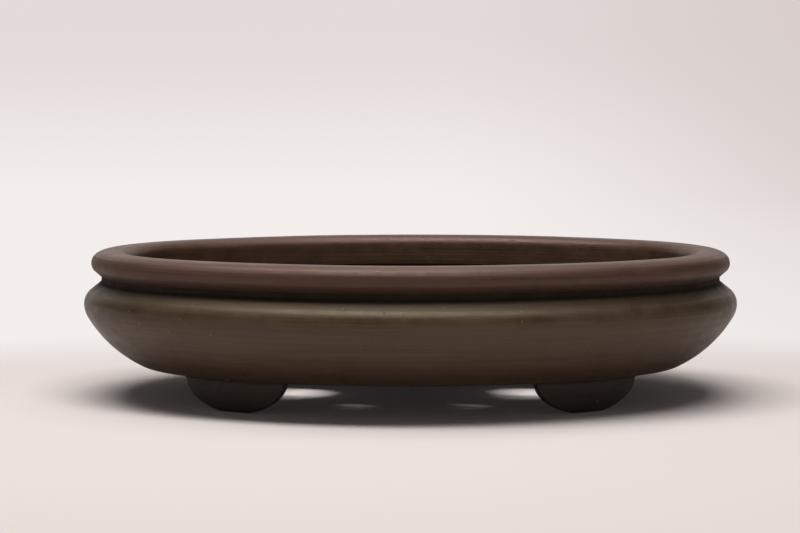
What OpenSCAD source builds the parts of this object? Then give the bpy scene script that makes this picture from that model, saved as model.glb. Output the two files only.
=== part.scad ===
// Oval bonsai pot: a flank wall luted round a flat floor slab, a shoulder band with a grooved neck,
// a rolled lip, and four half-moon feet.
// Length runs along X, width along Y, height along Z. The soles of the feet stand on Z = 0.

/* [Overall] */
// Length over the belly
body_l = 256; // [200:1:320]
// Width over the belly
body_w = 192; // [165:1:236]
// Height from the soles to the crown of the lip
overall_h = 57.5; // [50:0.5:80]

/* [Wall] */
// Thickness of the wall below the belly
wall_t = 9; // [6:0.5:10]
// Radius of the belly just below its widest line
belly_r = 9.5; // [7:0.5:12]
// Radius of the shoulder just above the widest line
shoulder_r = 6.6; // [5:0.2:7]
// Height from the widest line up to the seat of the lip
shoulder_h = 10.8; // [10:0.1:14]
// How far the neck stands in from the belly
neck_in = 6.8; // [6:0.1:9]
// Height of the straight neck under the lip
neck_h = 2.2; // [1:0.1:3]
// Radius of the outer bottom edge
base_edge_r = 10; // [6:0.5:12]
// Radius of the inner bottom corner
inner_corner_r = 8; // [5:0.5:10]

/* [Lip] */
// Height of the lip above its seat
lip_h = 9.7; // [8:0.1:13]
// Width of the lip
lip_w = 14.2; // [12:0.2:18]
// How far the lip's outer edge stands in from the belly
lip_in = 2.9; // [1:0.1:4.5]
// Radius of the lip's outer edge
lip_nose_r = 4.2; // [3.5:0.1:5]
// Height of that edge's centre above the seat
lip_nose_h = 5; // [3.5:0.1:4.6]
// Radius of the lip's inner edge
lip_inner_r = 4; // [2:0.2:5]

/* [Floor] */
// Thickness of the floor slab
floor_t = 8; // [5:0.5:10]
// Diameter of each drain hole
drain_d = 22; // [12:0.5:28]
// Distance between the two drain holes
drain_pitch = 92; // [70:1:110]
// Diameter of each tie-wire hole
wire_d = 5; // [3:0.5:6]
// Distance between the tie-wire holes along the length
wire_pitch_x = 44; // [36:1:50]
// Distance between the tie-wire holes across the width
wire_pitch_y = 72; // [56:1:80]

/* [Feet] */
// Height of the feet
foot_h = 12.4; // [8:0.2:18]
// Length of each foot where it meets the base
foot_l = 45.2; // [34:0.2:54]
// Thickness of each foot where it meets the base
foot_t = 9; // [7:0.5:14]
// Length of the flat sole as a share of the foot's length
sole_share = 0.28; // [0.16:0.02:0.5]
// How far each face of a foot leans in by the sole
foot_draft = 1; // [0.5:0.1:2]
// Angle of each foot round the long side, from the length axis
foot_angle = 60; // [54:0.5:66]

/* [Hidden] */
$fn = 96;

// Angle step of the arcs in the cross-sections.
arc_step = 7.5;
// Slopes, from upright, where the belly meets the flank and the flank meets the bottom edge.
belly_turn = 30;
flank_turn = 63;
// Slope of the shoulder, from upright, where its arc runs into the straight.
shoulder_turn = 48;
// Directions, from level, where the lip's outer edge starts and where its crown starts.
lip_under_turn = -30;
lip_crown_turn = 50;
// How far a foot's face stands in from the rounded bottom edge.
foot_inset = 0.5;
// Length by which a cutting tool runs past the face that it cuts.
run_out = 1;

// Plan: an oval of four arcs, which keeps every offset from it a true arc. Lines between the arcs'
// centres are the long sides of 3-4-5 triangles, so that neighbouring arcs meet on exact points.
half_w = fine(body_w / 2);
plan_k = fine((body_l / 2 - half_w) / 2);
half_l = half_w + 2 * plan_k;
end_c = 3 * plan_k;
side_c = 4 * plan_k;
end_r = half_w - plan_k;
side_r = half_w + side_c;

// Levels.
base_z = foot_h;
floor_z = base_z + floor_t;
seat_z = overall_h - lip_h;
belly_z = seat_z - shoulder_h;
neck_z = seat_z - neck_h;

// Flank: the arc that carries the belly down to the bottom edge in the height that is left.
belly_drop = belly_z - base_z;
flank_r = (belly_drop - belly_r * sin(belly_turn) - base_edge_r * (1 - sin(flank_turn)))
    / (sin(flank_turn) - sin(belly_turn));
flank_cx = -belly_r - (flank_r - belly_r) * cos(belly_turn);
flank_cz = belly_z + (flank_r - belly_r) * sin(belly_turn);
edge_cx = flank_cx + (flank_r - base_edge_r) * cos(flank_turn);
edge_cz = base_z + base_edge_r;

// Inside: the flank's arc set in by the wall, run into the floor by the corner arc.
inner_r = flank_r - wall_t;
corner_cz = floor_z + inner_corner_r;
corner_dx = sqrt(pow(inner_r - inner_corner_r, 2) - pow(flank_cz - corner_cz, 2));
corner_cx = flank_cx + corner_dx;
corner_turn = atan2(flank_cz - corner_cz, corner_dx);
seam_turn = max(belly_turn, asin((flank_cz - belly_z) / inner_r));
seam_x = flank_cx + inner_r * cos(seam_turn);
bore_x = -lip_in - lip_w;

// Foot: set just inside the rounded bottom edge, on the flat underside.
foot_in = -edge_cx + foot_inset;
foot_drop = foot_h / sqrt(1 - sole_share * sole_share);
foot_reach = side_r - foot_in;

// A length to the nearest thousandth, which keeps the arcs' shared points exact.
function fine(v) = round(v * 1000) / 1000;

// Points of an arc about a centre, from one angle to another, in even steps.
function arc_points(cx, cz, r, from, to) =
    let (n = max(1, ceil(abs(to - from) / arc_step)))
    [for (i = [0:n]) let (a = from + (to - from) * i / n) [cx + r * cos(a), cz + r * sin(a)]];

// Section of the flank wall, with x = 0 on the widest line of the belly and inward negative.
flank_section = concat(
    arc_points(-belly_r, belly_z, belly_r, 0, -belly_turn),
    arc_points(flank_cx, flank_cz, flank_r, -belly_turn - arc_step / 2, -flank_turn),
    arc_points(edge_cx, edge_cz, base_edge_r, -flank_turn - arc_step, -90),
    [[corner_cx, base_z], [corner_cx, floor_z]],
    arc_points(corner_cx, corner_cz, inner_corner_r, -90 + arc_step, -corner_turn),
    arc_points(flank_cx, flank_cz, inner_r, -corner_turn + arc_step / 2, -seam_turn),
    [[seam_x, belly_z]]
);

// Section of the shoulder band, on the same x = 0: it stands on the flank wall and carries the neck.
shoulder_section = concat(
    [[bore_x, seat_z], [-neck_in, seat_z], [-neck_in, neck_z]],
    arc_points(-shoulder_r, belly_z, shoulder_r, shoulder_turn, 0),
    [[seam_x, belly_z], [bore_x, neck_z]]
);

// Section of the lip, on the same x = 0, standing on its seat: a rolled outer edge, a low crown and
// a rounded inner edge.
nose_cx = -lip_in - lip_nose_r;
nose_cz = seat_z + lip_nose_h;
crown_r = (lip_h - lip_nose_h - lip_nose_r * sin(lip_crown_turn)) / (1 - sin(lip_crown_turn));
crown_cx = nose_cx + (lip_nose_r - crown_r) * cos(lip_crown_turn);
crown_cz = nose_cz + (lip_nose_r - crown_r) * sin(lip_crown_turn);
lip_section = concat(
    [[-neck_in, seat_z]],
    arc_points(nose_cx, nose_cz, lip_nose_r, lip_under_turn, lip_crown_turn),
    arc_points(crown_cx, crown_cz, crown_r, lip_crown_turn + arc_step, 90),
    arc_points(bore_x + lip_inner_r, overall_h - lip_inner_r, lip_inner_r, 90, 180),
    [[bore_x, seat_z]]
);

// Section of a foot, and its half-moon outline seen along the wall's normal.
foot_section = [
    [-foot_in, base_z],
    [-foot_in - foot_draft, 0],
    [-foot_in - foot_t + foot_draft, 0],
    [-foot_in - foot_t, base_z]
];
foot_outline = concat(
    [for (a = [0:arc_step:180]) [foot_l / 2 * cos(a), foot_h - foot_drop * sin(a)]],
    [[-foot_l / 2, foot_h + run_out], [foot_l / 2, foot_h + run_out]]
);

// The part of the plan that the end arc covers, or the side arc: the angle between the centre lines.
module end_sector() {
    far = half_l;
    translate([0, 0, -run_out]) linear_extrude(overall_h + 2 * run_out)
        polygon([[end_c, 0], [end_c + 3 * far, -4 * far], [end_c + 6 * far, 0], [end_c + 3 * far, 4 * far]]);
}

module side_sector() {
    far = plan_k + half_l;
    translate([0, 0, -run_out]) linear_extrude(overall_h + 2 * run_out)
        polygon([[0, -side_c], [3 * far, 4 * far - side_c], [-3 * far, 4 * far - side_c]]);
}

// Sweeps one section round the two ends and another round the two long sides of the oval.
module oval_sweep(end_section, side_section) {
    for (turn = [0, 180]) rotate([0, 0, turn]) {
        intersection() {
            translate([end_c, 0, 0]) rotate_extrude() polygon(end_section);
            end_sector();
        }
        intersection() {
            translate([0, -side_c, 0]) rotate_extrude() polygon(side_section);
            side_sector();
        }
    }
}

// A ring of the given section, whose x = 0 follows the belly's widest line.
module oval_ring(section) {
    oval_sweep(
        [for (p = section) [end_r + fine(p[0]), fine(p[1])]],
        [for (p = section) [side_r + fine(p[0]), fine(p[1])]]
    );
}

// A solid plate from z0 to z1, whose edge lies edge_x from the belly's widest line.
module oval_plate(edge_x, z0, z1) {
    inner = side_c - run_out;
    end_edge = end_r + fine(edge_x);
    side_edge = side_r + fine(edge_x);
    oval_sweep(
        [[0, z0], [end_edge, z0], [end_edge, z1], [0, z1]],
        [[inner, z0], [side_edge, z0], [side_edge, z1], [inner, z1]]
    );
}

// A round hole through the floor slab, at a point of the plan.
module floor_hole(x, y, d) {
    translate([x, y, base_z - run_out]) cylinder(d = d, h = floor_t + 2 * run_out);
}

module floor_slab() {
    color("sienna") difference() {
        oval_plate(corner_cx, base_z, floor_z);
        for (side = [-1, 1]) {
            floor_hole(side * drain_pitch / 2, 0, drain_d);
            for (row = [-1, 1]) floor_hole(side * wire_pitch_x / 2, row * wire_pitch_y / 2, wire_d);
        }
    }
}

module flank_wall() {
    color("saddlebrown") oval_ring(flank_section);
}

module shoulder_band() {
    color("chocolate") oval_ring(shoulder_section);
}

module lip_ring() {
    color("peru") oval_ring(lip_section);
}

// A foot in the back right quarter; the others mirror it.
module foot() {
    color("dimgray") translate([0, -side_c, 0]) rotate([0, 0, foot_angle]) intersection() {
        rotate_extrude() polygon([for (p = foot_section) [side_r + fine(p[0]), p[1]]]);
        translate([foot_reach - foot_t - run_out, 0, 0])
            rotate([90, 0, 90]) linear_extrude(foot_t + 2 * run_out) polygon(foot_outline);
    }
}

module foot_back_right() {
    foot();
}

module foot_back_left() {
    mirror([1, 0, 0]) foot();
}

module foot_front_right() {
    mirror([0, 1, 0]) foot();
}

module foot_front_left() {
    rotate([0, 0, 180]) foot();
}

floor_slab();
flank_wall();
shoulder_band();
lip_ring();
foot_front_right();
foot_front_left();
foot_back_right();
foot_back_left();
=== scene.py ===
"""Oval bonsai pot in unglazed brown stoneware, standing in a plain pale studio.

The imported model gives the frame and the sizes. Each clay piece is made again here with the
finish of the real one: soft hand-worked edges, wiping marks, grog in the clay and the fine
joint lines where the pieces were luted together.
"""

import logging
import math
from dataclasses import dataclass, field, replace
from enum import Enum

import bmesh
import bpy
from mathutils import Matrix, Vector, noise
from mathutils.geometry import delaunay_2d_cdt


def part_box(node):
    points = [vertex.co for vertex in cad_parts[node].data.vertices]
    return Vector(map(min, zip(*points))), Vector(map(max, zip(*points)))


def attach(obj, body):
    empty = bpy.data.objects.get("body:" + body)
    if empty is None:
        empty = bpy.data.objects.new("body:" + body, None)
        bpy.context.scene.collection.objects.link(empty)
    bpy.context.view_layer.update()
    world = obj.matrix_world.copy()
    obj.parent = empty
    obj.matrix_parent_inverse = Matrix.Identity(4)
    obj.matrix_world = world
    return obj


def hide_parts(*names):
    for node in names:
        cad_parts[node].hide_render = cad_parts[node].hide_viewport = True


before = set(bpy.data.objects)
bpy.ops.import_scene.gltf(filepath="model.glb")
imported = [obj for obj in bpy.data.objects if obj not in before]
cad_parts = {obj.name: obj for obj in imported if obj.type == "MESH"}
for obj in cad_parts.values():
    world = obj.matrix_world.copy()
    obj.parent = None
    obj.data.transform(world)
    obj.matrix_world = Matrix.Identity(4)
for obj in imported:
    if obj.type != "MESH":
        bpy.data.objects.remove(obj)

LOG = logging.getLogger("bonsai_pot")
MM = 0.001
ARC_MEET = 0.8  # sine of the direction in which the end and side arcs meet
GRAINS = 4200.0  # grog grains on a square metre
SMALLEST, LARGEST = 0.09 * MM, 0.36 * MM
FIRST_SEED = 11
QUARTER_TURN = [math.radians(15 * i) for i in range(7)]
MERGE = 0.004 * MM  # points nearer than this are one
SHARP = math.radians(38)  # edges that turn more than this stay sharp

Mesh = bpy.types.Mesh
Material = bpy.types.Material
Socket = bpy.types.NodeSocket
Point2 = tuple[float, float]
Point3 = tuple[float, float, float]
Colour = tuple[float, float, float]


# ------------------------------------------------------------------ node-tree helper


class Wiring:
    """Adds and joins the nodes of one shader or geometry tree."""

    def __init__(self, tree: bpy.types.NodeTree) -> None:
        """Starts on an empty tree.

        Args:
            tree: The tree that the nodes go into.
        """
        self.tree = tree
        tree.nodes.clear()

    def add(self, kind: str, inputs: dict | None = None, **settings: object) -> bpy.types.Node:
        """Adds a node.

        Args:
            kind: The node's type name.
            inputs: Socket name or number to a plain value, or to a socket to join.
            **settings: Properties of the node itself.

        Returns:
            The new node.
        """
        node = self.tree.nodes.new(kind)
        for name, value in settings.items():
            setattr(node, name, value)
        for key, value in (inputs or {}).items():
            if isinstance(value, Socket):
                self.tree.links.new(value, node.inputs[key])
            else:
                node.inputs[key].default_value = value
        return node

    def math(self, operation: str, a: object, b: object = 0.0) -> Socket:
        """Adds a Math node on two values or sockets and returns its output."""
        return self.add("ShaderNodeMath", {0: a, 1: b}, operation=operation).outputs[0]

    def times(self, a: object, b: object) -> Socket:
        """Multiplies two values or sockets."""
        return self.math("MULTIPLY", a, b)

    def plus(self, a: object, b: object) -> Socket:
        """Adds two values or sockets."""
        return self.math("ADD", a, b)

    def split(self, vector: object) -> bpy.types.NodeOutputs:
        """Splits a vector into its three outputs."""
        return self.add("ShaderNodeSeparateXYZ", {0: vector}).outputs

    def join(self, x: object, y: object, z: object) -> Socket:
        """Makes a vector of three values or sockets."""
        return self.add("ShaderNodeCombineXYZ", {0: x, 1: y, 2: z}).outputs[0]

    def noise(self, vector: Socket, scale: float, detail: float, rough: float = 0.5, bend: float = 0.0) -> Socket:
        """Adds a noise texture and returns its value."""
        inputs = {"Vector": vector, "Scale": scale, "Detail": detail, "Roughness": rough, "Distortion": bend}
        return self.add("ShaderNodeTexNoise", inputs).outputs["Fac"]

    def bump(self, height: object) -> Socket:
        """Turns a height in metres into a normal."""
        return self.add("ShaderNodeBump", {"Height": height, "Strength": 1.0, "Distance": 1.0}).outputs[0]

    def ramp(self, value: object, low: float, high: float, to_low: float = 0.0, to_high: float = 1.0) -> Socket:
        """Maps low..high of a value smoothly onto to_low..to_high and returns the output."""
        node = self.add(
            "ShaderNodeMapRange",
            {0: value, 1: low, 2: high, 3: to_low, 4: to_high},
            interpolation_type="SMOOTHSTEP",
        )
        return node.outputs[0]

    def mix(self, factor: object, a: object, b: object, blend: str = "MIX") -> Socket:
        """Blends two colours and returns the output."""
        node = self.add("ShaderNodeMix", data_type="RGBA", blend_type=blend, clamp_factor=True)
        for key, value in ((0, factor), (6, a), (7, b)):
            if isinstance(value, Socket):
                self.tree.links.new(value, node.inputs[key])
            elif key == 0:
                node.inputs[key].default_value = value
            else:
                node.inputs[key].default_value = (*value, 1.0)
        return node.outputs[2]


# ------------------------------------------------------------------ finishes


def new_material(name: str) -> tuple[Material, Wiring]:
    """Starts a material and returns it with the wiring of its empty tree."""
    material = bpy.data.materials.new(name)
    material.use_nodes = True
    return material, Wiring(material.node_tree)


@dataclass(frozen=True)
class StonewareFinish:
    """Unglazed fired clay: mottled body colour, wiping marks, grog specks and pin holes."""

    name: str
    clay: Colour
    clay_dark: Colour
    clay_warm: Colour
    dust_and_highlight: Colour
    roughness: float = 0.46
    specular: float = 0.6
    tint: Colour = (1.0, 0.84, 0.70)
    wipe_depth: float = 0.00006
    grain_depth: float = 0.00005
    pit_depth: float = 0.00012
    speck_amount: float = 0.5
    wear_and_highlight: float = 0.16
    mottle_scale: float = 26.0
    cloud_scale: float = 140.0
    grain_scale: float = 1900.0
    speck_scale: float = 430.0
    pit_scale: float = 760.0
    streaks: tuple[float, float] = (14.0, 1500.0)
    swathes: tuple[float, float] = (5.0, 260.0)
    pale_share: float = 0.09
    iron_share: float = 0.16
    iron: Colour = (0.012, 0.008, 0.006)

    def build(self) -> Material:
        """Makes the material.

        Returns:
            A material that reads Object coordinates and the clay pieces' own attributes.
        """
        material, w = new_material(self.name)
        place = w.add("ShaderNodeTexCoord").outputs["Object"]
        across, wear_and_highlight_mask, crevice_shade = (
            w.add("ShaderNodeAttribute", attribute_name=name).outputs["Fac"]
            for name in ("across", "wear_and_highlight", "crevice_shade")
        )
        spot = w.split(place)
        mottle = w.noise(place, self.mottle_scale, 4.0, 0.55)
        cloud = w.noise(place, self.cloud_scale, 5.0, 0.65)
        grain = w.noise(place, self.grain_scale, 3.0, 0.7)
        wipe_at, band_at = (
            w.join(w.times(spot[0], round_it), w.times(spot[1], round_it), w.times(across, up))
            for round_it, up in (self.streaks, self.swathes)
        )
        wipe = w.noise(wipe_at, 1.0, 3.0, 0.6, 0.25)
        band = w.noise(band_at, 1.0, 2.0, 0.5)

        colour = w.mix(w.ramp(mottle, 0.36, 0.66), self.clay_dark, self.clay)
        colour = w.mix(w.ramp(cloud, 0.45, 0.72, 0.0, 0.55), colour, self.clay_warm)
        streak = w.ramp(wipe, 0.3, 0.7, 0.76, 1.22)
        swathe = w.ramp(band, 0.3, 0.7, 0.88, 1.12)
        tone = w.times(streak, swathe)
        tone = w.times(tone, w.ramp(grain, 0.25, 0.75, 0.88, 1.12))
        shade = w.add("ShaderNodeCombineColor", {0: tone, 1: tone, 2: tone}).outputs[0]
        colour = w.mix(1.0, colour, shade, "MULTIPLY")

        specks = w.add("ShaderNodeTexVoronoi", {"Vector": place, "Scale": self.speck_scale, "Randomness": 1.0})
        chosen = w.add("ShaderNodeSeparateColor", {0: specks.outputs["Color"]})
        speck_size = w.ramp(chosen.outputs[1], 0.0, 1.0, 0.05, 0.17)
        in_speck = w.math("LESS_THAN", specks.outputs["Distance"], speck_size)
        palest = 1.0 - self.pale_share * self.speck_amount
        pale = w.times(in_speck, w.math("GREATER_THAN", chosen.outputs[0], palest))
        iron = w.times(in_speck, w.math("LESS_THAN", chosen.outputs[0], self.iron_share * self.speck_amount))
        colour = w.mix(w.times(pale, 0.6), colour, self.dust_and_highlight)
        colour = w.mix(w.times(iron, 0.55), colour, self.iron)

        # Paled towards a pale brown where the sections mark it: rubbed edges and soles, and on the lip's top
        # painted highlight.
        wear_and_highlight_share = w.times(w.ramp(cloud, 0.3, 0.62), self.wear_and_highlight)
        colour = w.mix(w.times(wear_and_highlight_mask, wear_and_highlight_share), colour, self.dust_and_highlight)
        # Painted shade: darker towards a very dark brown in creases, grooves, hole bores and on the lip's outer
        # face, with rougher clay there too.
        crevice_shade_colour = tuple(0.22 * c for c in self.clay_dark)
        colour = w.mix(w.times(crevice_shade, 0.95), colour, crevice_shade_colour)

        pits = w.add("ShaderNodeTexVoronoi", {"Vector": place, "Scale": self.pit_scale, "Randomness": 1.0})
        pit_pick = w.add("ShaderNodeSeparateColor", {0: pits.outputs["Color"]})
        pit = w.ramp(pits.outputs["Distance"], 0.05, 0.3, 1.0, 0.0)
        pit = w.times(pit, w.math("GREATER_THAN", pit_pick.outputs[0], 0.9))
        height = w.times(wipe, self.wipe_depth)
        height = w.plus(height, w.times(band, self.wipe_depth * 2.2))
        height = w.plus(height, w.times(grain, self.grain_depth))
        height = w.math("SUBTRACT", height, w.times(pit, self.pit_depth))

        gloss = w.ramp(cloud, 0.3, 0.7, self.roughness - 0.07, self.roughness + 0.08)
        gloss = w.plus(gloss, w.times(crevice_shade, 0.4))
        shader = w.add(
            "ShaderNodeBsdfPrincipled",
            {
                "Base Color": colour,
                "Roughness": gloss,
                "Normal": w.bump(height),
                "Specular IOR Level": self.specular,
                "Specular Tint": (*self.tint, 1.0),
            },
        )
        w.add("ShaderNodeOutputMaterial", {"Surface": shader.outputs[0]})
        return material


CLAY = StonewareFinish(
    name="stoneware",
    clay=(0.053, 0.031, 0.018),
    clay_dark=(0.044, 0.025, 0.014),
    clay_warm=(0.063, 0.037, 0.023),
    dust_and_highlight=(0.20, 0.16, 0.12),
)


class Zone(Enum):
    """The clay zones of the pot, each with its own tone; the rim's and shoulder's colours carry painted highlight
    and the feet's colour painted shade.
    """

    RIM = replace(
        CLAY,
        name="rim_clay",
        # Painted highlight: lighter and pinker clay than the body, standing in for the light on the lip.
        clay=(0.074, 0.037, 0.023),
        clay_dark=(0.061, 0.030, 0.018),
        clay_warm=(0.090, 0.044, 0.030),
        wear_and_highlight=0.12,
        tint=(1.0, 0.69, 0.61),
        specular=0.85,
    )
    SHOULDER = replace(
        CLAY,
        name="shoulder_clay",
        # Painted highlight: the olive hue of the lit shoulder band is put into the clay.
        clay=(0.054, 0.034, 0.016),
        clay_dark=(0.045, 0.028, 0.013),
        clay_warm=(0.061, 0.039, 0.020),
        tint=(1.0, 0.85, 0.68),
    )
    FLANK = replace(CLAY, name="flank_clay", wear_and_highlight=0.1)
    FLOOR = replace(
        CLAY,
        name="floor_clay",
        clay=(0.046, 0.029, 0.017),
        clay_dark=(0.037, 0.023, 0.013),
        wipe_depth=0.00003,
        grain_depth=0.00009,
        roughness=0.68,
    )
    FOOT = replace(
        CLAY,
        name="foot_clay",
        # Painted shade: clay about half as light as the body's, standing in for the shade under the bowl.
        clay=(0.027, 0.021, 0.017),
        clay_dark=(0.021, 0.017, 0.013),
        clay_warm=(0.032, 0.025, 0.019),
        wear_and_highlight=0.12,
        roughness=0.6,
    )
    SLIP = replace(
        CLAY,
        name="slip_clay",
        clay=(0.020, 0.015, 0.011),
        clay_dark=(0.014, 0.010, 0.008),
        clay_warm=(0.026, 0.019, 0.014),
        wipe_depth=0.0,
        roughness=0.66,
    )


@dataclass(frozen=True)
class GrogFinish:
    """Pale fired grains that show where the wiped surface has been rubbed back."""

    name: str = "grog"
    pale: Colour = (0.36, 0.30, 0.22)
    tan: Colour = (0.15, 0.11, 0.075)
    roughness: float = 0.7
    tone_scale: float = 210.0
    grit_scale: float = 5200.0
    grit_depth: float = 0.00003

    def build(self) -> Material:
        """Makes the material, a different tone from grain to grain.

        Returns:
            A material that reads Object coordinates.
        """
        material, w = new_material(self.name)
        place = w.add("ShaderNodeTexCoord").outputs["Object"]
        colour = w.mix(w.ramp(w.noise(place, self.tone_scale, 1.0), 0.42, 0.6), self.tan, self.pale)
        normal = w.bump(w.times(w.noise(place, self.grit_scale, 2.0), self.grit_depth))
        inputs = {"Base Color": colour, "Roughness": self.roughness, "Normal": normal}
        shader = w.add("ShaderNodeBsdfPrincipled", inputs)
        w.add("ShaderNodeOutputMaterial", {"Surface": shader.outputs[0]})
        return material


@dataclass(frozen=True)
class StudioFinish:
    """Pale paper sweep: it takes the pot's shadow near the pot, lifted a little by painted fill light there, and
    further away glows, with painted shade darkening the glow towards the top and the right.
    """

    name: str = "studio_paper"
    paper: Colour = (0.80, 0.735, 0.715)
    glow: Colour = (0.935, 0.895, 0.875)
    painted_shade_top: Colour = (0.765, 0.70, 0.69)
    painted_shade_right: Colour = (0.66, 0.585, 0.57)
    painted_shadow_lift: float = 0.016
    near: float = 0.33
    far: float = 0.50
    middle: float = -0.25
    tooth_depth: float = 0.00002

    def build(self) -> Material:
        """Makes the material.

        Returns:
            A material that reads Object coordinates and the Light Path node.
        """
        material, w = new_material(self.name)
        spot = w.split(w.add("ShaderNodeTexCoord").outputs["Object"])
        tooth = w.add("ShaderNodeTexNoise", {"Scale": 900.0, "Detail": 3.0})
        normal = w.bump(w.times(tooth.outputs["Fac"], self.tooth_depth))
        paper = w.add("ShaderNodeBsdfDiffuse", {"Color": (*self.paper, 1.0), "Normal": normal})
        light = w.add("ShaderNodeLightPath")
        seen = w.math("MAXIMUM", light.outputs["Is Camera Ray"], light.outputs["Is Glossy Ray"])
        seen = w.math("MAXIMUM", seen, light.outputs["Is Transmission Ray"])
        ahead = w.math("SUBTRACT", spot[1], self.middle)
        away = w.math("SQRT", w.plus(w.times(spot[0], spot[0]), w.times(ahead, ahead)))
        # Far from the pot the paper glows fully; near it a small share of glow is painted fill light that lifts
        # the pot's shadow.
        behind = w.times(w.ramp(away, self.near, self.far, self.painted_shadow_lift, 1.0), seen)
        # Painted shade: the glow darkens towards the top and towards the right.
        colour = w.mix(w.ramp(spot[2], -0.08, 0.20), self.glow, self.painted_shade_top)
        colour = w.mix(w.ramp(spot[0], 0.0, 0.6, 0.0, 0.8), colour, self.painted_shade_right)
        glow = w.add("ShaderNodeEmission", {"Color": colour, "Strength": 1.0})
        shader = w.add("ShaderNodeMixShader", {0: behind, 1: paper.outputs[0], 2: glow.outputs[0]})
        w.add("ShaderNodeOutputMaterial", {"Surface": shader.outputs[0]})
        return material


# ------------------------------------------------------------------ shared shapes


@dataclass(frozen=True)
class OvalPlan:
    """The pot's plan: an oval of four arcs whose centre lines form 3-4-5 triangles."""

    half_l: float
    half_w: float
    steps: int = 480

    @property
    def k(self) -> float:
        """Third of the end arcs' distance from the middle."""
        return (self.half_l - self.half_w) / 2

    @property
    def end_c(self) -> float:
        """Distance from the middle to the centre of an end arc."""
        return 3 * self.k

    @property
    def end_r(self) -> float:
        """Radius of the end arcs."""
        return self.half_w - self.k

    @property
    def side_c(self) -> float:
        """Distance from the middle to the centre of a long side's arc."""
        return 4 * self.k

    @property
    def side_r(self) -> float:
        """Radius of the long sides' arcs."""
        return self.half_w + self.side_c

    def point(self, turn: float, offset: float) -> Point2:
        """Finds a point of the oval.

        Args:
            turn: Direction that the wall faces there, in radians from the length axis.
            offset: Distance out from the widest line; inward is negative.

        Returns:
            The point's x and y.
        """
        c, s = math.cos(turn), math.sin(turn)
        if abs(s) < ARC_MEET:
            return math.copysign(self.end_c, c) + (self.end_r + offset) * c, (self.end_r + offset) * s
        return (self.side_r + offset) * c, (self.side_r + offset) * s - math.copysign(self.side_c, s)

    def outline(self, offset: float) -> list[Point2]:
        """Lists the points of a line at one distance from the widest line."""
        return [self.point(math.tau * i / self.steps, offset) for i in range(self.steps)]


@dataclass(frozen=True)
class PotSizes:
    """Levels and outline of the pot in metres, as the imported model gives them."""

    plan: OvalPlan
    base_z: float
    floor_z: float
    belly_z: float
    seat_z: float
    top_z: float

    @classmethod
    def from_frame(cls) -> "PotSizes":
        """Reads the sizes from the boxes of the model's nodes."""
        wall_low, wall_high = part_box("flank_wall")
        lip_low, lip_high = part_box("lip_ring")
        return cls(
            plan=OvalPlan(wall_high[0], wall_high[1]),
            base_z=wall_low[2],
            floor_z=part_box("floor_slab")[1][2],
            belly_z=wall_high[2],
            seat_z=lip_low[2],
            top_z=lip_high[2],
        )


@dataclass(frozen=True)
class HandWarp:
    """The slight unevenness of a hand-pressed pot: the same field for every piece, so joints stay shut."""

    sizes: PotSizes
    inward: float = 0.30 * MM
    sag: float = 0.22 * MM

    def apply(self, mesh: Mesh) -> None:
        """Moves a mesh's points inward and down by the field.

        Args:
            mesh: The mesh to move, in the pot's frame.
        """
        plan = self.sizes.plan
        for vertex in mesh.vertices:
            x, y, z = vertex.co
            turn = math.atan2(y / plan.half_w, x / plan.half_l)
            rise = z / self.sizes.top_z
            swell = (
                0.42 * math.sin(2 * turn + 0.7)
                + 0.28 * math.sin(3 * turn + 2.1 + 1.1 * rise)
                + 0.18 * math.sin(7 * turn - 2.3 * rise)
                + 0.12 * math.sin(11 * turn + 1.3 + 3.1 * rise)
            )
            dip = 0.5 * math.sin(2 * turn + 2.6) + 0.3 * math.sin(3 * turn + 0.4)
            dip += 0.2 * math.sin(8 * turn + 1.9)
            pull = self.inward * (0.5 + 0.5 * swell)
            vertex.co.x -= pull * x / plan.half_l
            vertex.co.y -= pull * y / plan.half_w
            vertex.co.z -= self.sag * (0.5 + 0.5 * dip) * rise**4


@dataclass
class SectionPoint:
    """One point of a cross-section, with how much it is paled, for rubbing and painted highlight, and how much
    painted shade darkens it.
    """

    x: float
    z: float
    wear_and_highlight: float = 0.0
    crevice_shade: float = 0.0


def arc(
    cx: float,
    cz: float,
    r: float,
    start: float,
    end: float,
    step: float = 4.0,
    wear_and_highlight: float = 0.0,
    crevice_shade: float = 0.0,
) -> list[SectionPoint]:
    """Lists the points of an arc in a cross-section.

    Args:
        cx: Centre, out from the widest line.
        cz: Centre's height.
        r: Radius.
        start: First angle in degrees.
        end: Last angle in degrees.
        step: Largest angle between points, in degrees.
        wear_and_highlight: How much it is paled: rubbing, and on the lip's top painted highlight too.
        crevice_shade: How much painted shade darkens it, in creases and grooves.

    Returns:
        The points in order.
    """
    count = max(1, math.ceil(abs(end - start) / step))
    angles = (math.radians(start + (end - start) * i / count) for i in range(count + 1))
    return [SectionPoint(cx + r * math.cos(a), cz + r * math.sin(a), wear_and_highlight, crevice_shade) for a in angles]


def straight(start: SectionPoint, end: SectionPoint, pitch: float = 1.1 * MM) -> list[SectionPoint]:
    """Lists evenly spaced points between two points, without the two themselves."""
    length = math.hypot(end.x - start.x, end.z - start.z)
    count = max(1, round(length / pitch))
    return [
        SectionPoint(
            start.x + (end.x - start.x) * i / count,
            start.z + (end.z - start.z) * i / count,
            start.wear_and_highlight + (end.wear_and_highlight - start.wear_and_highlight) * i / count,
            start.crevice_shade + (end.crevice_shade - start.crevice_shade) * i / count,
        )
        for i in range(1, count)
    ]


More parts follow.
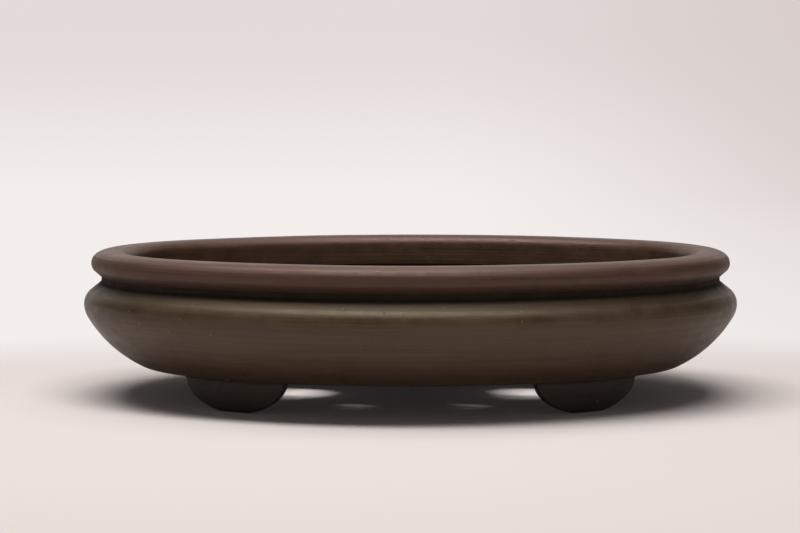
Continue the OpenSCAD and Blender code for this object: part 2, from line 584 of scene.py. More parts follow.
def filled(points: list[SectionPoint], pitch: float = 1.1 * MM) -> list[SectionPoint]:
    """Closes a section and puts points on its longer straights.

    Args:
        points: The section's corners and arcs, in order.
        pitch: Greatest distance between neighbours.

    Returns:
        The points of the closed section.
    """
    dense: list[SectionPoint] = []
    for here, following in zip(points, points[1:] + points[:1]):
        dense.append(here)
        if math.hypot(following.x - here.x, following.z - here.z) > 1.6 * pitch:
            dense += straight(here, following, pitch)
    return dense


def closed_line(start: int, count: int) -> list[tuple[int, int]]:
    """Lists the edges that join numbered points into a closed line."""
    return [(start + i, start + (i + 1) % count) for i in range(count)]


def circle(x: float, y: float, r: float, count: int) -> list[Point2]:
    """Lists evenly spaced points of a circle."""
    turns = (math.tau * i / count for i in range(count))
    return [(x + r * math.cos(a), y + r * math.sin(a)) for a in turns]


def join_rows(bm: bmesh.types.BMesh, rows: list[list[bmesh.types.BMVert]]) -> None:
    """Joins each closed row of points to the next by faces."""
    for first, second in zip(rows, rows[1:]):
        for i, j in closed_line(0, len(first)):
            bm.faces.new((first[i], first[j], second[j], second[i]))


def plain_mesh(bm: bmesh.types.BMesh, name: str) -> Mesh:
    """Turns working geometry into a mesh."""
    mesh = bpy.data.meshes.new(name)
    bm.to_mesh(mesh)
    bm.free()
    return mesh


def set_float(mesh: Mesh, name: str, values: list[float]) -> None:
    """Stores one number a point on a mesh under a name that the finishes read."""
    layer = mesh.attributes.get(name) or mesh.attributes.new(name, "FLOAT", "POINT")
    layer.data.foreach_set("value", values)


def close_up(mesh: Mesh, merge: float = MERGE) -> None:
    """Merges doubled points, turns the faces outward and keeps only real edges sharp.

    Args:
        mesh: A closed clay mesh.
        merge: Distance below which points are one.
    """
    bm = bmesh.new()
    bm.from_mesh(mesh)
    bmesh.ops.remove_doubles(bm, verts=bm.verts, dist=merge)
    bmesh.ops.dissolve_degenerate(bm, edges=bm.edges, dist=merge)
    bmesh.ops.recalc_face_normals(bm, faces=bm.faces)
    bm.to_mesh(mesh)
    bm.free()
    mesh.shade_smooth()
    mesh.set_sharp_from_angle(angle=SHARP)


def add_piece(name: str, mesh: Mesh, finish: Material, node: str, stands_in: bool = True) -> None:
    """Puts a finished mesh in the scene as a piece of the pot.

    Args:
        name: The piece's name.
        mesh: Its mesh, in the pot's frame.
        finish: Its material.
        node: The model's node that it goes with, hidden when the piece stands in for it.
        stands_in: Whether it stands for that node.
    """
    mesh.materials.clear()
    mesh.materials.append(finish)
    piece = bpy.data.objects.new(name, mesh)
    bpy.context.collection.objects.link(piece)
    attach(piece, "root")
    if stands_in:
        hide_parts(node)
    LOG.info("%s: %d faces", name, len(mesh.polygons))


# ------------------------------------------------------------------ geometry node trees

NUMBER, WHOLE, FINISH = "NodeSocketFloat", "NodeSocketInt", "NodeSocketMaterial"


class ClayTree:
    """A Geometry Nodes tree with named inputs, run once on a mesh and left as a plain mesh."""

    def __init__(self, name: str, inputs: dict[str, str]) -> None:
        """Starts the tree.

        Args:
            name: The tree's name.
            inputs: Input name to socket type.
        """
        self.tree = bpy.data.node_groups.new(name, "GeometryNodeTree")
        self.w = Wiring(self.tree)
        face = self.tree.interface
        face.new_socket("Geometry", in_out="INPUT", socket_type="NodeSocketGeometry")
        self.sockets = {
            key: face.new_socket(key, in_out="INPUT", socket_type=kind).identifier
            for key, kind in inputs.items()
        }
        face.new_socket("Geometry", in_out="OUTPUT", socket_type="NodeSocketGeometry")
        self.given = self.w.add("NodeGroupInput").outputs

    def close(self, geometry: Socket) -> None:
        """Ends the tree in Realize Instances and Set Material."""
        real = self.w.add("GeometryNodeRealizeInstances", {"Geometry": geometry})
        clay = {"Geometry": real.outputs[0], "Material": self.given["Clay"]}
        dressed = self.w.add("GeometryNodeSetMaterial", clay)
        self.w.add("NodeGroupOutput", {0: dressed.outputs[0]})

    def run(self, source: Mesh, values: dict[str, object]) -> Mesh:
        """Runs the tree on a mesh.

        Args:
            source: The mesh that goes in.
            values: Input name to value.

        Returns:
            The result as a plain mesh.
        """
        holder = bpy.data.objects.new("holder", source)
        bpy.context.collection.objects.link(holder)
        modifier = holder.modifiers.new("clay", "NODES")
        modifier.node_group = self.tree
        for key, value in values.items():
            modifier[self.sockets[key]] = value
        graph = bpy.context.evaluated_depsgraph_get()
        result = bpy.data.meshes.new_from_object(holder.evaluated_get(graph), depsgraph=graph)
        holder.modifiers.remove(modifier)
        bpy.data.objects.remove(holder)
        return result


class RingSweep(ClayTree):
    """Carries a cross-section round the oval plan as one closed ring."""

    def __init__(self) -> None:
        """Builds the tree: each point of a swept circle moves to its place on the oval's arcs."""
        arcs = dict.fromkeys(("End centre", "End radius", "Side centre", "Side radius"), NUMBER)
        super().__init__("ring_sweep", {"Steps": WHOLE, **arcs, "Clay": FINISH})
        w, given = self.w, self.given
        place = w.add("GeometryNodeInputPosition").outputs[0]
        vector = {"data_type": "FLOAT_VECTOR", "domain": "POINT"}
        section = w.add("GeometryNodeMeshToCurve", {0: given["Geometry"]}).outputs[0]
        keep = "GeometryNodeStoreNamedAttribute"
        section = w.add(keep, {"Geometry": section, "Name": "spot", "Value": place}, **vector).outputs[0]
        circle = w.add("GeometryNodeCurvePrimitiveCircle", {"Resolution": given["Steps"], "Radius": 1.0})
        circle = circle.outputs[0]
        circle = w.add(keep, {"Geometry": circle, "Name": "facing", "Value": place}, **vector).outputs[0]
        swept = w.add("GeometryNodeCurveToMesh", {"Curve": circle, "Profile Curve": section}).outputs[0]
        facing, spot = (
            w.split(w.add("GeometryNodeInputNamedAttribute", {"Name": kept}, data_type="FLOAT_VECTOR").outputs[0])
            for kept in ("facing", "spot")
        )
        on_end = w.math("LESS_THAN", w.math("ABSOLUTE", facing[1]), ARC_MEET)
        on_side = w.math("SUBTRACT", 1.0, on_end)
        end_x = w.times(w.times(w.math("SIGN", facing[0]), given["End centre"]), on_end)
        side_y = w.times(w.times(w.math("SIGN", facing[1]), given["Side centre"]), on_side)
        radius = w.plus(w.times(given["End radius"], on_end), w.times(given["Side radius"], on_side))
        radius = w.plus(radius, spot[0])
        x = w.plus(end_x, w.times(radius, facing[0]))
        y = w.math("SUBTRACT", w.times(radius, facing[1]), side_y)
        moved = {"Geometry": swept, "Position": w.join(x, y, spot[1])}
        self.close(w.add("GeometryNodeSetPosition", moved).outputs[0])

    def ring(self, section: list[SectionPoint], plan: OvalPlan, finish: Material) -> Mesh:
        """Sweeps a section round the plan.

        Args:
            section: The closed section's points.
            plan: The oval.
            finish: The ring's material.

        Returns:
            A closed mesh with the attributes that the finishes read.
        """
        count = len(section)
        profile = bpy.data.meshes.new("section")
        profile.from_pydata([(p.x, p.z, 0.0) for p in section], closed_line(0, count), [])
        run, length = [0.0], 0.0
        for here, following in zip(section, section[1:]):
            length += math.hypot(following.x - here.x, following.z - here.z)
            run.append(length)
        set_float(profile, "across", run)
        set_float(profile, "wear_and_highlight", [p.wear_and_highlight for p in section])
        set_float(profile, "crevice_shade", [p.crevice_shade for p in section])
        mesh = self.run(
            profile,
            {
                "Steps": plan.steps,
                "End centre": plan.end_c,
                "End radius": plan.end_r,
                "Side centre": plan.side_c,
                "Side radius": plan.side_r,
                "Clay": finish,
            },
        )
        for spare in ("spot", "facing"):
            if spare in mesh.attributes:
                mesh.attributes.remove(mesh.attributes[spare])
        return mesh


class GrainScatter(ClayTree):
    """Sinks small pale grains into a clay surface at random, with a fixed seed."""

    def __init__(self) -> None:
        """Builds the tree: points on the faces, a low faceted grain on each, turned to the surface."""
        sizes = dict.fromkeys(("Density", "Smallest", "Largest"), NUMBER)
        super().__init__("grain_scatter", {**sizes, "Seed": WHOLE, "Clay": FINISH})
        w, given = self.w, self.given
        showing = w.add("GeometryNodeInputNamedAttribute", {"Name": "showing"}, data_type="FLOAT").outputs[0]
        points = w.add(
            "GeometryNodeDistributePointsOnFaces",
            {"Mesh": given["Geometry"], "Density": w.times(given["Density"], showing), "Seed": given["Seed"]},
        )
        grain = w.add("GeometryNodeMeshIcoSphere", {"Radius": 1.0, "Subdivisions": 1}).outputs[0]
        limits = {"Min": (0.0, 0.0, 0.0), "Max": (1.0, 1.0, 1.0), "Seed": given["Seed"]}
        dice = w.split(w.add("FunctionNodeRandomValue", limits, data_type="FLOAT_VECTOR").outputs[0])
        spread = w.math("SUBTRACT", given["Largest"], given["Smallest"])
        base = w.plus(given["Smallest"], w.times(w.math("POWER", dice[0], 2.5), spread))
        shape = w.join(base, w.times(base, w.ramp(dice[1], 0.0, 1.0, 0.55, 1.0)), w.times(base, 0.22))
        turned = w.add("FunctionNodeRotateRotation", {0: points.outputs["Rotation"]}, rotation_space="LOCAL")
        upright = {"Axis": (0.0, 0.0, 1.0), "Angle": w.times(dice[2], math.tau)}
        spin = w.add("FunctionNodeAxisAngleToRotation", upright)
        self.tree.links.new(spin.outputs[0], turned.inputs[1])
        grains = w.add(
            "GeometryNodeInstanceOnPoints",
            {
                "Points": points.outputs["Points"],
                "Instance": grain,
                "Rotation": turned.outputs[0],
                "Scale": shape,
            },
        )
        self.close(grains.outputs[0])


class BeadSweep(ClayTree):
    """Runs an uneven bead of slip along a closed path."""

    def __init__(self) -> None:
        """Builds the tree: the path becomes a curve whose thickness wanders."""
        super().__init__("bead_sweep", {"Radius": NUMBER, "Sides": WHOLE, "Seed": WHOLE, "Clay": FINISH})
        w, given = self.w, self.given
        path = w.add("GeometryNodeMeshToCurve", {0: given["Geometry"]}).outputs[0]
        place = w.add("GeometryNodeInputPosition").outputs[0]
        drift = {"Vector": place, "W": given["Seed"], "Scale": 330.0, "Detail": 2.0}
        wander = w.add("ShaderNodeTexNoise", drift, noise_dimensions="4D")
        girth = w.times(given["Radius"], w.ramp(wander.outputs["Fac"], 0.3, 0.7, 0.55, 1.25))
        ring = w.add("GeometryNodeCurvePrimitiveCircle", {"Resolution": given["Sides"], "Radius": 1.0})
        bead = w.add("GeometryNodeCurveToMesh", {"Curve": path, "Profile Curve": ring.outputs[0], "Scale": girth})
        self.close(bead.outputs[0])


# ------------------------------------------------------------------ the pot's pieces


@dataclass
class Rim:
    """The flat, rolled lip that stands on the neck."""

    sizes: PotSizes
    inset: float = 2.9 * MM
    width: float = 14.2 * MM
    nose_r: float = 4.2 * MM
    nose_h: float = 5.0 * MM
    inner_r: float = 4.0 * MM
    neck_in: float = 6.8 * MM

    def section(self) -> list[SectionPoint]:
        """Draws the lip's cross-section: underside, rolled nose, low crown and rounded inner edge."""
        seat, top = self.sizes.seat_z, self.sizes.top_z
        nose_x, nose_z = -self.inset - self.nose_r, seat + self.nose_h
        turn = math.sin(math.radians(50))
        crown_r = (top - nose_z - self.nose_r * turn) / (1 - turn)
        crown_x = nose_x + (self.nose_r - crown_r) * math.cos(math.radians(50))
        crown_z = nose_z + (self.nose_r - crown_r) * turn
        bore = -self.inset - self.width
        return filled(
            [
                # Painted shade where the lip sits on the neck.
                SectionPoint(-self.neck_in, seat, 0.0, 1.0),
                SectionPoint(-self.neck_in + 0.7 * MM, seat + 0.45 * MM, 0.0, 0.9),
            ]
            # Painted shade darkens the rolled nose a little; the crown and inner edge are paled, partly for
            # rubbing and partly as painted highlight on the lip's top.
            + arc(nose_x, nose_z, self.nose_r, -34, -26, 4, 0.15, 0.35)
            + arc(nose_x, nose_z, self.nose_r, -20, 46, 4, 0.2, 0.32)
            + arc(crown_x, crown_z, crown_r, 50, 90, 4, 0.6, 0.0)
            + arc(bore + self.inner_r, top - self.inner_r, self.inner_r, 90, 180, 5, 0.7, 0.0)
            + [SectionPoint(bore, seat)]
        )


@dataclass
class Wall:
    """The bowl: a rounded flank below, and the shoulder with its grooved neck above."""

    sizes: PotSizes
    thickness: float = 9.0 * MM
    belly_r: float = 9.5 * MM
    edge_r: float = 10.0 * MM
    corner_r: float = 8.0 * MM
    shoulder_r: float = 6.6 * MM
    neck_in: float = 6.8 * MM
    neck_h: float = 2.2 * MM
    bore_in: float = 17.1 * MM
    belly_turn: float = 30.0
    flank_turn: float = 63.0
    shoulder_turn: float = 48.0
    flank_r: float = field(init=False)
    flank_x: float = field(init=False)
    flank_z: float = field(init=False)
    corner_x: float = field(init=False)
    seam_x: float = field(init=False)

    def __post_init__(self) -> None:
        """Works out the flank's arc from the levels, and where the inside meets the floor."""
        s = self.sizes
        belly, flank = math.sin(math.radians(self.belly_turn)), math.sin(math.radians(self.flank_turn))
        rise = s.belly_z - s.base_z - self.belly_r * belly - self.edge_r * (1 - flank)
        self.flank_r = rise / (flank - belly)
        self.flank_x = -self.belly_r - (self.flank_r - self.belly_r) * math.cos(math.radians(self.belly_turn))
        self.flank_z = s.belly_z + (self.flank_r - self.belly_r) * belly
        inner = self.flank_r - self.thickness
        drop = self.flank_z - s.floor_z - self.corner_r
        self.corner_x = self.flank_x + math.sqrt((inner - self.corner_r) ** 2 - drop**2)
        self.seam_x = self.flank_x + inner * math.cos(math.radians(self.belly_turn))

    @property
    def edge_x(self) -> float:
        """Where the rounded bottom edge's centre stands, out from the widest line."""
        return self.flank_x + (self.flank_r - self.edge_r) * math.cos(math.radians(self.flank_turn))

    def flank_section(self) -> list[SectionPoint]:
        """Draws the flank's cross-section, from the belly down, under and up the inside."""
        s = self.sizes
        inner = self.flank_r - self.thickness
        drop = self.flank_z - s.floor_z - self.corner_r
        corner_turn = math.degrees(math.atan2(drop, self.corner_x - self.flank_x))
        return filled(
            arc(-self.belly_r, s.belly_z, self.belly_r, 0, -4, 0.5, 0.55)
            + arc(-self.belly_r, s.belly_z, self.belly_r, -7, -28, 3, 0.25)
            + arc(self.flank_x, self.flank_z, self.flank_r, -self.belly_turn, -self.flank_turn + 1.5, 1.5)
            + arc(self.edge_x, s.base_z + self.edge_r, self.edge_r, -self.flank_turn, -90, 3, 0.3)
            # Painted shade in the inside corner where the floor meets the wall.
            + [SectionPoint(self.corner_x, s.base_z), SectionPoint(self.corner_x, s.floor_z, 0.0, 0.25)]
            + arc(self.corner_x, s.floor_z + self.corner_r, self.corner_r, -86, -corner_turn, 4, 0.0, 0.2)
            + arc(self.flank_x, self.flank_z, inner, -corner_turn + 2, -self.belly_turn, 3)
            + [SectionPoint(self.seam_x, s.belly_z)]
        )

    def shoulder_section(self) -> list[SectionPoint]:
        """Draws the shoulder's cross-section, with the neck's groove under the lip."""
        s = self.sizes
        neck_z = s.seat_z - self.neck_h
        return filled(
            [
                SectionPoint(-self.bore_in, s.seat_z),
                # Painted shade in the neck's groove under the lip.
                SectionPoint(-self.neck_in, s.seat_z, 0.0, 1.0),
                SectionPoint(-self.neck_in, neck_z + 0.5 * MM, 0.0, 1.0),
                SectionPoint(-self.neck_in + 0.15 * MM, neck_z + 0.05 * MM, 0.0, 1.0),
                SectionPoint(-self.neck_in + 0.5 * MM, neck_z - 0.36 * MM, 0.0, 0.85),
                SectionPoint(-self.neck_in + 1.6 * MM, neck_z - 1.25 * MM, 0.0, 0.3),
            ]
            + arc(-self.shoulder_r, s.belly_z, self.shoulder_r, self.shoulder_turn, 8, 3, 0.5)
            + arc(-self.shoulder_r, s.belly_z, self.shoulder_r, 4, 0, 0.5, 0.6)
            + [SectionPoint(self.seam_x, s.belly_z), SectionPoint(-self.bore_in, neck_z)]
        )


@dataclass
class FloorSlab:
    """The floor inside the wall, with two drain holes and four tie-wire holes."""

    sizes: PotSizes
    reach: float
    drain_r: float = 11.0 * MM
    drain_x: float = 46.0 * MM
    wire_r: float = 2.5 * MM
    wire_x: float = 22.0 * MM
    wire_y: float = 36.0 * MM
    pitch: float = 2.6 * MM

    def holes(self) -> list[tuple[float, float, float, float]]:
        """Lists each hole's x, y, radius and the radius of its softened rim."""
        drains = [(side * self.drain_x, 0.0, self.drain_r, 1.5 * MM) for side in (-1, 1)]
        wires = [(a * self.wire_x, b * self.wire_y, self.wire_r, 0.7 * MM) for a in (-1, 1) for b in (-1, 1)]
        return drains + wires

    def build(self) -> Mesh:
        """Makes the slab: two faces, a softened rim to each hole and the edge that meets the wall.

        Returns:
            A closed mesh with the attributes that the finishes read.
        """
        s = self.sizes
        rings = [s.plan.outline(self.reach)]
        for x, y, r, soft in self.holes():
            count = 72 if r > 5 * MM else 32
            rings.append(circle(x, y, r + soft, count))
        flat, edges = [], []
        for ring in rings:
            edges += closed_line(len(flat), len(ring))
            flat += ring
        flat += self.inner_points()
        points, _, faces, *_ = delaunay_2d_cdt([Vector(p) / MM for p in flat], edges, [], 0, 1e-5)
        centres = [sum((points[i] for i in f), Vector((0.0, 0.0))) / len(f) * MM for f in faces]
        faces = [f for f, centre in zip(faces, centres) if self.on_slab(centre)]
        bm = bmesh.new()
        wear_and_highlight_mask = bm.verts.layers.float.new("wear_and_highlight")
        crevice_shade_layer = bm.verts.layers.float.new("crevice_shade")
        across = bm.verts.layers.float.new("across")
        levels = []
        for z in (s.floor_z, s.base_z):
            verts = [bm.verts.new((p.x * MM, p.y * MM, z)) for p in points]
            for face in faces:
                bm.faces.new([verts[i] for i in face])
            levels.append(verts)
        self.skirt(bm, [[(x, y, s.floor_z) for x, y in rings[0]], [(x, y, s.base_z) for x, y in rings[0]]])
        for (x, y, r, soft), ring in zip(self.holes(), rings[1:]):
            self.skirt(bm, self.rim_loops(x, y, r, soft, len(ring)))
        for vert in bm.verts:
            near = min(math.hypot(vert.co.x - x, vert.co.y - y) - r for x, y, r, _ in self.holes())
            vert[wear_and_highlight_mask] = max(0.0, 1.0 - near / (2.2 * MM)) * 0.8
            vert[across] = vert.co.y * 0.25 + 0.0015 * math.sin(40.0 * vert.co.x) + vert.co.z * 0.4
            # Painted shade inside the hole bores, away from their rims.
            inside = max(0.0, 1.0 - max(near, 0.0) / (1.0 * MM))
            vert[crevice_shade_layer] = 0.5 * inside if s.base_z + 1 * MM < vert.co.z < s.floor_z - 1.5 * MM else 0.0
        bmesh.ops.delete(bm, geom=[v for v in bm.verts if not v.link_faces], context="VERTS")
        return plain_mesh(bm, "floor_slab_clay")

    def inner_points(self) -> list[Point2]:
        """Lists the points of a staggered grid that lie well inside the slab and off its holes."""
        plan, found = self.sizes.plan, []
        for j in range(-40, 41):
            for i in range(-50, 51):
                spot = Vector(((i + 0.5 * (j % 2)) * self.pitch, j * self.pitch * 0.87))
                if self.on_slab(spot, 0.55 * self.pitch) and abs(spot.y) < plan.half_w:
                    found.append((spot.x, spot.y))
        return found

    def on_slab(self, spot: Vector, clear: float = 0.0) -> bool:
        """Tells whether a point is on the slab, with some clearance to its edge and holes."""
        if any(math.hypot(spot.x - x, spot.y - y) < r + soft + clear for x, y, r, soft in self.holes()):
            return False
        plan = self.sizes.plan
        if 3 * abs(spot.y) < 4 * (abs(spot.x) - plan.end_c):
            return math.hypot(abs(spot.x) - plan.end_c, spot.y) - plan.end_r < self.reach - clear
        return math.hypot(spot.x, abs(spot.y) + plan.side_c) - plan.side_r < self.reach - clear

    def rim_loops(self, x: float, y: float, r: float, soft: float, count: int) -> list[list[Point3]]:
        """Lists the loops of one hole, from its top rim through the bore to its bottom rim.

        Args:
            x: Hole's centre.
            y: Hole's centre.
            r: Bore radius.
            soft: Radius of the softened rims.
            count: Points round the hole.

        Returns:
            Loops of points, top to bottom.
        """
        s = self.sizes
        path = [(r + soft * (1 - math.sin(a)), s.floor_z - soft * (1 - math.cos(a))) for a in QUARTER_TURN]
        path += [(r, s.floor_z - soft - (s.floor_z - s.base_z - 2 * soft) * i / 5) for i in range(1, 5)]
        path += [(p, s.base_z + s.floor_z - z) for p, z in reversed(path[:7])]
        return [[(*spot, z) for spot in circle(x, y, p, count)] for p, z in path]

    def skirt(self, bm: bmesh.types.BMesh, loops: list[list[Point3]]) -> None:
        """Joins loops of points by faces."""
        join_rows(bm, [[bm.verts.new(p) for p in loop] for loop in loops])


class Corner(Enum):
    """The four feet, by the signs of their places along the length and the width."""

    FRONT_RIGHT = (1, -1)
    FRONT_LEFT = (-1, -1)
    BACK_RIGHT = (1, 1)
    BACK_LEFT = (-1, 1)

    @property
    def node(self) -> str:
        """The foot's name in the model."""
        return f"foot_{self.name.lower()}"


@dataclass
class Foot:
    """One half-moon foot under the bottom edge, cut from a slab that follows the long side."""

    sizes: PotSizes
    corner: Corner
    face_in: float
    length: float = 45.2 * MM
    depth: float = 9.0 * MM
    draft: float = 1.0 * MM
    sole_share: float = 0.28
    angle: float = 60.0
    back_share: float = 0.84
    soft: float = 1.5 * MM
    stations: int = 72
    face_steps: int = 6
    sole_steps: int = 8

    def place(self, s: float, r: float, z: float) -> Vector:
        """Puts a point of the foot in the pot's frame.

        Args:
            s: Distance along the foot from its middle.
            r: Distance from the centre of the long side's arc.
            z: Height.

        Returns:
            The point.
        """
        turn = math.radians(self.angle)
        behind = (self.sizes.plan.side_r - self.face_in - r) / self.depth
        s *= 1 - (1 - self.back_share) * min(max(behind, 0.0), 1.0)
        reach = math.sqrt(r * r - s * s)
        x = reach * math.cos(turn) - s * math.sin(turn)
        y = reach * math.sin(turn) + s * math.cos(turn) - self.sizes.plan.side_c
        side, face = self.corner.value
        return Vector((side * x, face * y, z))

    def lower_edge(self, a: float) -> tuple[float, float]:
        """Follows the half-moon: distance along the foot and height of its lower edge."""
        drop = self.sizes.base_z / math.sqrt(1 - self.sole_share**2)
        return self.length / 2 * math.cos(a), max(0.0, self.sizes.base_z - drop * math.sin(a))

    def faces_at(self, s: float, z: float) -> Point2:
        """Finds the outer and inner faces, drawn in towards the sole and round the ends."""
        lean = self.draft * (1 - z / self.sizes.base_z)
        over = max(0.0, abs(s) - (self.length / 2 - self.soft)) / self.soft
        tuck = self.soft * (1 - math.sqrt(max(0.0, 1 - over * over)))
        outer = self.sizes.plan.side_r - self.face_in
        return outer - lean - tuck, outer - self.depth + lean + tuck

    def section(self, a: float) -> list[tuple[float, float, float, float]]:
        """Lists one cross-section's points: place along, radius, height and how rubbed."""
        top = self.sizes.base_z
        s, low = self.lower_edge(a)
        soft = min(self.soft, 0.48 * (top - low))
        levels = [top - (top - low - soft) * i / self.face_steps for i in range(self.face_steps)]
        bends = [(soft * (1 - math.cos(t)), low + soft * (1 - math.sin(t))) for t in QUARTER_TURN]
        flats = [i / self.sole_steps for i in range(1, self.sole_steps)]
        out_r, in_r = self.faces_at(s, low + soft)
        points = [(s, self.faces_at(s, z)[0], z, 0.0) for z in levels]
        points += [(s, out_r - tuck, z, 0.9) for tuck, z in bends]
        points += [(s, out_r - soft - (out_r - in_r - 2 * soft) * f, low, 0.35) for f in flats]
        points += [(s, in_r + tuck, z, 0.9) for tuck, z in reversed(bends)]
        points += [(s, self.faces_at(s, z)[1], z, 0.0) for z in reversed(levels)]
        out_r, in_r = self.faces_at(s, top)
        points += [(s, out_r - soft - (out_r - in_r - 2 * soft) * f, top, 0.0) for f in reversed(flats)]
        return points

    def build(self) -> Mesh:
        """Makes the foot's mesh, closed at both thin ends."""
        bm = bmesh.new()
        wear_and_highlight_mask = bm.verts.layers.float.new("wear_and_highlight")
        across = bm.verts.layers.float.new("across")
        crevice_shade_layer = bm.verts.layers.float.new("crevice_shade")
        rows = []
        for i in range(self.stations + 1):
            row = []
            for s, r, z, wear_and_highlight_share in self.section(math.pi * i / self.stations):
                vert = bm.verts.new(self.place(s, r, z))
                vert[wear_and_highlight_mask] = wear_and_highlight_share * (1.0 if z < 0.6 * self.sizes.base_z else 0.4)
                vert[across] = z
                # Painted shade along the foot's top, where it meets the bowl.
                vert[crevice_shade_layer] = max(0.0, 1.0 - (self.sizes.base_z - z) / (1.1 * MM)) * 0.8
                row.append(vert)
            rows.append(row)
        join_rows(bm, rows)
        return plain_mesh(bm, self.corner.node)

    def chip(self, along: float, size: float) -> Mesh:
        """Makes the small dried crumb of pale slip that is left on the joint.

        Args:
            along: Its place along the foot, from the middle.
            size: Its greatest half-width.

        Returns:
            A small lumpy mesh, half sunk in the clay.
        """
        bm = bmesh.new()
        bmesh.ops.create_icosphere(bm, subdivisions=3, radius=1.0)
        top = self.sizes.base_z
        centre = self.place(along, self.faces_at(along, top)[0] + 0.55 * MM, top - 0.05 * MM)
        for vert in bm.verts:
            lump = 0.75 + 0.5 * noise.noise(vert.co * 1.7)
            x, y, z = vert.co
            vert.co = centre + Vector((x * size, y * 0.55 * size, z * 0.5 * size)) * lump
        return plain_mesh(bm, "chip")

    def seam_path(self) -> Mesh:
        """Draws the closed line where the foot's faces meet the underside of the bowl."""
        top, line = self.sizes.base_z, []
        for side in (0, 1):
            angles = [math.pi * i / 120 for i in range(121)]
            for a in angles if side == 0 else reversed(angles):
                s = self.length / 2 * math.cos(a) * 0.998
                r = self.faces_at(s, top)[side] + (0.1 if side == 0 else -0.1) * MM
                line.append(self.place(s, r, top - 0.12 * MM))
        line = [p for p, q in zip(line, line[1:] + line[:1]) if (p - q).length > 0.05 * MM]
        path = bpy.data.meshes.new("seam_path")
        path.from_pydata(line, closed_line(0, len(line)), [])
        return path


# ------------------------------------------------------------------ putting it together


class BonsaiPot:
    """All the pot's pieces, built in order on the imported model's frame."""

    def __init__(self) -> None:
        """Reads the sizes and makes the finishes."""
        self.sizes = PotSizes.from_frame()
        self.warp = HandWarp(self.sizes)
        self.clay = {zone: zone.value.build() for zone in Zone}
        self.grog = GrogFinish().build()
        self.sweep = RingSweep()
        self.wall = Wall(self.sizes)

    def finish_clay(self, mesh: Mesh, merge: float = MERGE) -> Mesh:
        """Closes a mesh and gives it the hand-made unevenness."""
        close_up(mesh, merge)
        self.warp.apply(mesh)
        return mesh

    def build_rings(self) -> None:
        """Builds the lip, the shoulder and the flank."""
        rings = (
            ("lip_ring", Rim(self.sizes).section(), Zone.RIM),
            ("shoulder_band", self.wall.shoulder_section(), Zone.SHOULDER),
            ("flank_wall", self.wall.flank_section(), Zone.FLANK),
        )
        scatter = GrainScatter()
        for number, (node, section, zone) in enumerate(rings):
            mesh = self.finish_clay(self.sweep.ring(section, self.sizes.plan, self.clay[zone]))
            self.sow(scatter, mesh, node, number + FIRST_SEED)
            add_piece(f"{node}_clay", mesh, self.clay[zone], node)

    def sow(self, scatter: GrainScatter, mesh: Mesh, node: str, seed: int) -> None:
        """Scatters grog on the part of a ring that is seen and rubbed.

        Args:
            scatter: The tree that does it.
            mesh: The ring's finished mesh.
            node: The model's node that the ring stands for.
            seed: Fixed seed.
        """
        ground = mesh.copy()
        crevice_shade = [item.value for item in mesh.attributes["crevice_shade"].data]
        outer = []
        for vertex, hidden in zip(ground.vertices, crevice_shade):
            clear = hidden < 0.1 and self.sizes.base_z + 1 * MM < vertex.co.z
            on_seat = abs(vertex.co.z - self.sizes.seat_z) < 0.6 * MM
            mating = on_seat or abs(vertex.co.z - self.sizes.belly_z) < 0.3 * MM
            outer.append(1.0 if clear and not mating else 0.0)
        set_float(ground, "showing", outer)
        grains = scatter.run(
            ground,
            {"Density": GRAINS, "Smallest": SMALLEST, "Largest": LARGEST, "Seed": seed, "Clay": self.grog},
        )
        grains.shade_flat()
        add_piece(f"{node}_grog", grains, self.grog, node, stands_in=False)
        bpy.data.meshes.remove(ground)

    def build_floor(self) -> None:
        """Builds the floor slab."""
        mesh = self.finish_clay(FloorSlab(self.sizes, self.wall.corner_x).build())
        add_piece("floor_slab_clay", mesh, self.clay[Zone.FLOOR], "floor_slab")

    def build_feet(self) -> None:
        """Builds the four feet and the slip that lutes each to the bowl."""
        bead = BeadSweep()
        face_in = -self.wall.edge_x + 0.5 * MM
        for number, corner in enumerate(Corner):
            foot = Foot(self.sizes, corner, face_in)
            clay, slip = self.clay[Zone.FOOT], self.clay[Zone.SLIP]
            add_piece(f"{corner.node}_clay", self.finish_clay(foot.build()), clay, corner.node)
            values = {"Radius": 0.42 * MM, "Sides": 8, "Seed": number, "Clay": slip}
            seam = bead.run(foot.seam_path(), values)
            # Painted shade over the whole slip bead.
            for name in ("wear_and_highlight", "across", "crevice_shade"):
                set_float(seam, name, [0.35 if name == "crevice_shade" else 0.0] * len(seam.vertices))
            add_piece(f"{corner.node}_seam", self.finish_clay(seam), slip, corner.node, stands_in=False)
            if corner is Corner.FRONT_LEFT:
                crumb = self.finish_clay(foot.chip(-1.3 * MM, 0.8 * MM))
                add_piece("slip_crumb", crumb, self.grog, corner.node, stands_in=False)


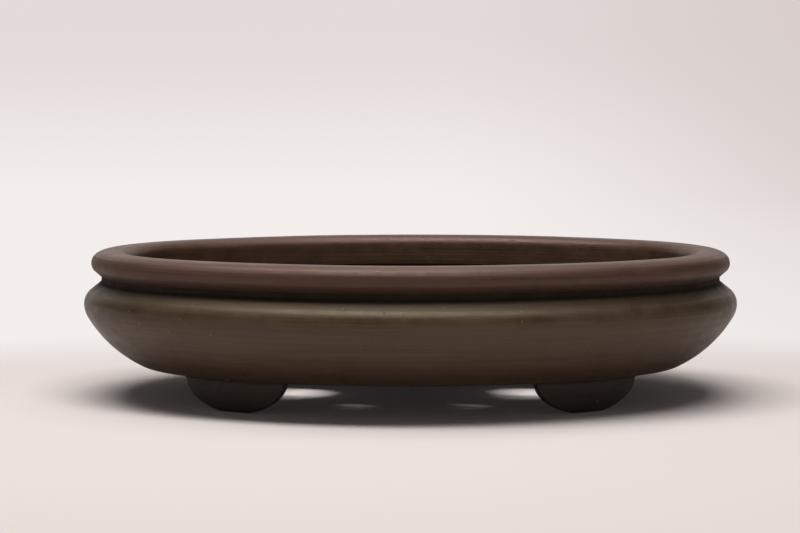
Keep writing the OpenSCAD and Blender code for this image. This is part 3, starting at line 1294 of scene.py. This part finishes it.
@dataclass
class Studio:
    """Paper sweep, two soft lamps, pale surroundings and the camera."""

    half_width: float = 2.4
    front: float = -1.6
    back: float = 1.5
    cove_r: float = 0.7
    height: float = 2.4
    camera_place: Point3 = (0.0, -0.894, 0.1218)
    camera_pitch: float = 4.557
    lens: float = 102.6
    shift_x: float = -10.5 / 800
    sensor: float = 36.0
    lamp_colour: Colour = (1.0, 0.975, 0.945)

    def build_sweep(self) -> None:
        """Builds the floor that curves up into the backdrop."""
        line = [(self.front + (self.back - self.front) * i / 40, 0.0) for i in range(41)]
        turns = (math.radians(90 * i / 24) for i in range(1, 25))
        line += [(self.back + self.cove_r * math.sin(a), self.cove_r * (1 - math.cos(a))) for a in turns]
        line.append((self.back + self.cove_r, self.height))
        verts, faces, across = [], [], 24
        for y, z in line:
            verts += [(-self.half_width + 2 * self.half_width * i / across, y, z) for i in range(across + 1)]
        for row in range(len(line) - 1):
            corners = range(row * (across + 1), row * (across + 1) + across)
            faces += [(i, i + 1, i + across + 2, i + across + 1) for i in corners]
        mesh = bpy.data.meshes.new("paper_sweep")
        mesh.from_pydata(verts, [], faces)
        mesh.shade_smooth()
        mesh.materials.append(StudioFinish().build())
        sweep = bpy.data.objects.new("paper_sweep", mesh)
        bpy.context.collection.objects.link(sweep)

    def add_lamp(self, name: str, place: Point3, size: Point2, power: float) -> None:
        """Hangs a soft rectangular lamp that faces the pot.

        Args:
            name: Lamp's name.
            place: Where it hangs.
            size: Its width and depth.
            power: Watts.
        """
        lamp = bpy.data.lights.new(name, "AREA")
        lamp.shape, lamp.size, lamp.size_y = "RECTANGLE", size[0], size[1]
        lamp.energy, lamp.color = power, self.lamp_colour
        hung = bpy.data.objects.new(name, lamp)
        hung.location = place
        hung.rotation_euler = (Vector((0.0, 0.0, 0.02)) - Vector(place)).to_track_quat("-Z", "Y").to_euler()
        bpy.context.collection.objects.link(hung)

    def build(self) -> None:
        """Builds the sweep, the lamps, the surroundings and the camera."""
        self.build_sweep()
        self.add_lamp("long_softbox", (-0.07, -0.24, 0.82), (0.90, 0.26), 6.4)
        self.add_lamp("top_softbox", (-0.07, 0.18, 0.86), (0.90, 0.36), 2.2)
        world = bpy.data.worlds.new("room")
        world.use_nodes = True
        w = Wiring(world.node_tree)
        dim = w.add("ShaderNodeBackground", {"Color": (0.97, 0.965, 1.0, 1.0), "Strength": 0.085})
        pale = w.add("ShaderNodeBackground", {"Color": (0.78, 0.72, 0.71, 1.0), "Strength": 1.0})
        light = w.add("ShaderNodeLightPath")
        seen = w.math("MAXIMUM", light.outputs["Is Camera Ray"], light.outputs["Is Transmission Ray"])
        both = w.add("ShaderNodeMixShader", {0: seen, 1: dim.outputs[0], 2: pale.outputs[0]})
        w.add("ShaderNodeOutputWorld", {"Surface": both.outputs[0]})
        scene = bpy.context.scene
        scene.world = world
        scene.view_settings.view_transform = "Standard"
        view = bpy.data.cameras.new("camera")
        view.lens, view.sensor_width, view.shift_x = self.lens, self.sensor, self.shift_x
        camera = bpy.data.objects.new("camera", view)
        camera.location = self.camera_place
        camera.rotation_euler = (math.radians(90 - self.camera_pitch), 0.0, 0.0)
        bpy.context.collection.objects.link(camera)
        scene.camera = camera


def main() -> None:
    """Builds the pot and its studio."""
    logging.basicConfig(level=logging.INFO, format="%(name)s %(message)s")
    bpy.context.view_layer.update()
    pot = BonsaiPot()
    pot.build_rings()
    pot.build_floor()
    pot.build_feet()
    Studio().build()


if __name__ == "__main__":
    main()
